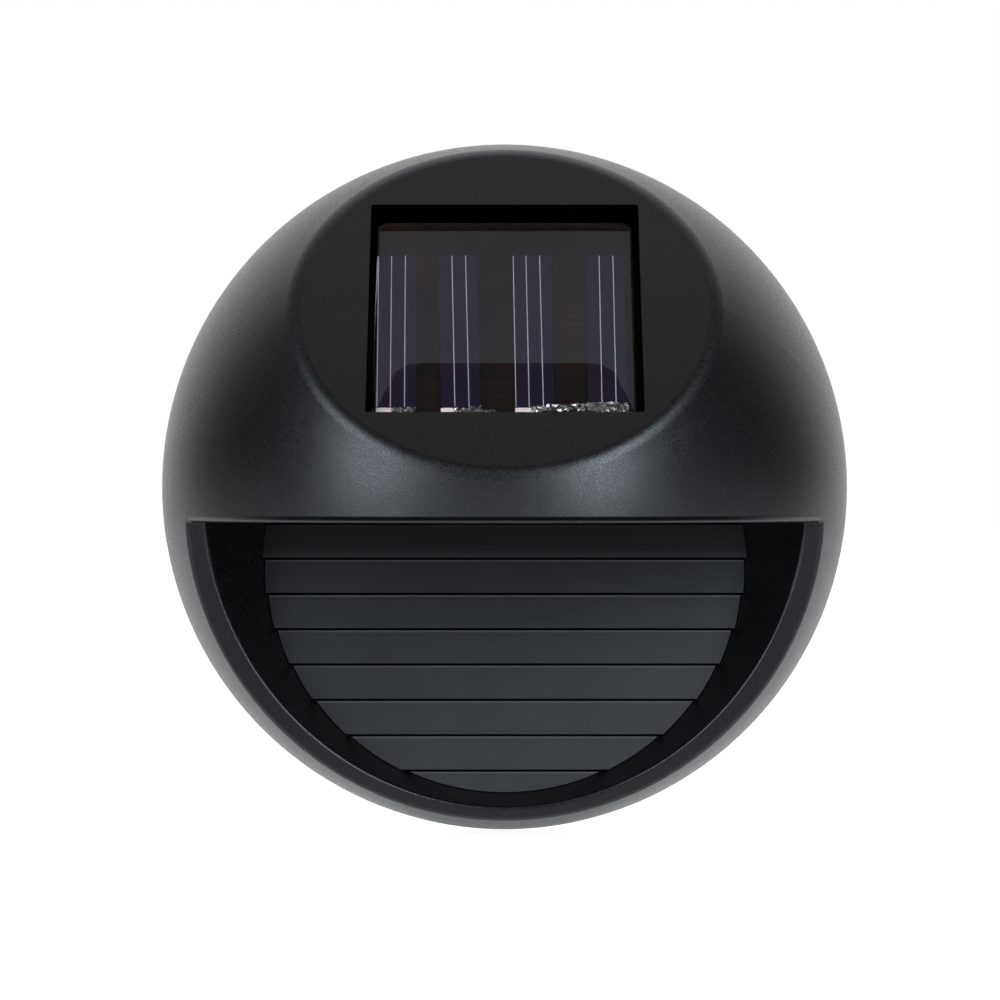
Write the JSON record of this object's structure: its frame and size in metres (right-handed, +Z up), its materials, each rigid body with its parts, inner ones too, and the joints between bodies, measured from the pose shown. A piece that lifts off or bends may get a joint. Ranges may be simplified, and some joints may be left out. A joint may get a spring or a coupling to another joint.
{
  "type": "solar fence light",
  "caption": "Round wall-hung solar light: half-ball case with a tilted facet holding a small solar panel, and a hooded recess with a ribbed reflector plate.",
  "frame": {"origin": "centre of the round face that lies on the wall", "axes": "+Z up, +Y into the wall, the light's front looks along -Y, +X to the right seen from the front"},
  "size_m": [0.12, 0.06, 0.12],
  "materials": {
    "black_abs": "fine moulded texture, satin",
    "black_abs_back": "fine moulded texture",
    "zinc_steel": "zinc plated",
    "foam_tape": "white foam",
    "panel_board": "dark brown board",
    "silicon": "blue-grey silicon",
    "tinned_ribbon": "tinned, bright",
    "clear_resin": "clear cast resin, glossy",
    "clear_window": "clear, frosted inside",
    "led_resin": "clear water-white resin",
    "board_green": "green solder mask",
    "chip_black": "moulded epoxy",
    "inductor_green": "dipped lacquer",
    "foam_seal": "closed-cell foam",
    "cell_sleeve": "plain shrink sleeve",
    "nickel_steel": "nickel plated",
    "phenolic": "phenolic board",
    "switch_black": "moulded",
    "wire_red": "insulation",
    "wire_black": "insulation"
  },
  "bodies": {
    "housing": {"dome_shell": "black_abs", "reflector_plate": "black_abs", "reflector_screws": "zinc_steel", "solar_tape": "foam_tape", "solar_board": "panel_board", "solar_cells": "silicon", "solar_tabs": "tinned_ribbon", "solar_cover": "clear_resin", "led_window": "clear_window", "led": "led_resin", "led_legs": "tinned_ribbon", "circuit_board": "board_green", "circuit_board_screws": "zinc_steel", "driver_chip": "chip_black", "inductor": "inductor_green", "back_plate": "black_abs_back", "back_seal": "foam_seal", "back_plate_screws": "zinc_steel", "battery_contact_plus": "nickel_steel", "battery_contact_minus": "nickel_steel", "battery_spring": "nickel_steel", "switch_frame": "nickel_steel", "switch_base": "phenolic", "switch_pins": "tinned_ribbon", "switch_screws": "zinc_steel", "solar_lead_red": "wire_red", "solar_lead_black": "wire_black", "battery_lead_red": "wire_red", "battery_lead_black": "wire_black", "switch_lead_red": "wire_red", "switch_lead_black": "wire_black"},
    "switch_knob": {"switch_slider": "switch_black"},
    "door": {"battery_door": "black_abs_back", "battery_door_seal": "foam_seal", "battery_door_screws": "zinc_steel"},
    "cell": {"battery_cell": "cell_sleeve", "battery_cap": "nickel_steel"}
  },
  "joints": [
    {"name": "switch_slide", "type": "slide", "parent": "housing", "child": "switch_knob", "axis": [1, 0, 0], "range_m": [0, 0.002]},
    {"name": "door_lift_off", "type": "slide", "parent": "housing", "child": "door", "axis": [0, 1, 0], "range_m": [0, 0.03]},
    {"name": "cell_lift_out", "type": "slide", "parent": "housing", "child": "cell", "axis": [0, 1, 0], "range_m": [0, 0.03]}
  ],
  "couplings": [
    {"joint": "cell_lift_out", "follows": "door_lift_off", "ratio": 1}
  ]
}
